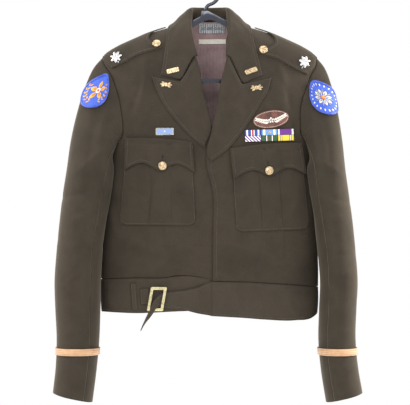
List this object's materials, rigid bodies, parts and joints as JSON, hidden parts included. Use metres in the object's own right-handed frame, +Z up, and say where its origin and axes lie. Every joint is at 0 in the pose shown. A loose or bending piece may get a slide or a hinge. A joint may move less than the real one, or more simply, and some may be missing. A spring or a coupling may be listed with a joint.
{
  "type": "ike jacket on a hanger",
  "caption": "Short waist-length uniform jacket of dark wool with peaked lapels, flapped chest pockets and a buckled waistband, hanging on a plastic hanger.",
  "frame": {"origin": "inner top of the hanger's hook", "axes": "+Z up, -Y to the jacket's front, +X to the wearer's left"},
  "size_m": [0.587, 0.1723, 0.8188],
  "materials": {
    "wool": "napped wool",
    "satin_lining": "satin",
    "label_satin": "satin",
    "cotton_tape": "woven",
    "gold_braid": "woven",
    "brass": "polished",
    "pale_brass": "polished",
    "silver": "bright",
    "patch_twill": "embroidered twill",
    "leather": "satin",
    "ribbon": "ribbed",
    "enamel": "gloss",
    "navy_plastic": "gloss"
  },
  "bodies": {
    "root": {"front_right": "wool", "front_left": "wool", "back": "wool", "collar": "wool", "lapel_right": "wool", "lapel_left": "wool", "sleeve_right_top": "wool", "sleeve_right_under": "wool", "sleeve_left_top": "wool", "sleeve_left_under": "wool", "waist_band_right": "wool", "waist_band_left": "wool", "waist_band_back": "wool", "waist_tab": "wool", "belt_loop": "wool", "buckle_keeper": "wool", "shoulder_strap_right": "wool", "shoulder_strap_left": "wool", "pocket_right": "wool", "pocket_left": "wool", "pocket_flap_right": "wool", "pocket_flap_left": "wool", "back_lining": "satin_lining", "neck_label": "label_satin", "name_tape": "cotton_tape", "cuff_braid_right": "gold_braid", "cuff_braid_left": "gold_braid", "strap_button_right": "brass", "strap_button_left": "brass", "pocket_button_right": "brass", "pocket_button_left": "brass", "collar_pin_right": "brass", "collar_pin_left": "brass", "lapel_pin_right": "brass", "lapel_pin_left": "brass", "waist_buckle": "pale_brass", "leaf_pin_right": "silver", "leaf_pin_left": "silver", "shoulder_patch_right": "patch_twill", "shoulder_patch_left": "patch_twill", "leather_badge": "leather", "ribbon_bar": "ribbon", "citation_bar": "enamel", "hanger_frame": "navy_plastic", "hanger_hook": "navy_plastic"}
  },
  "joints": []
}
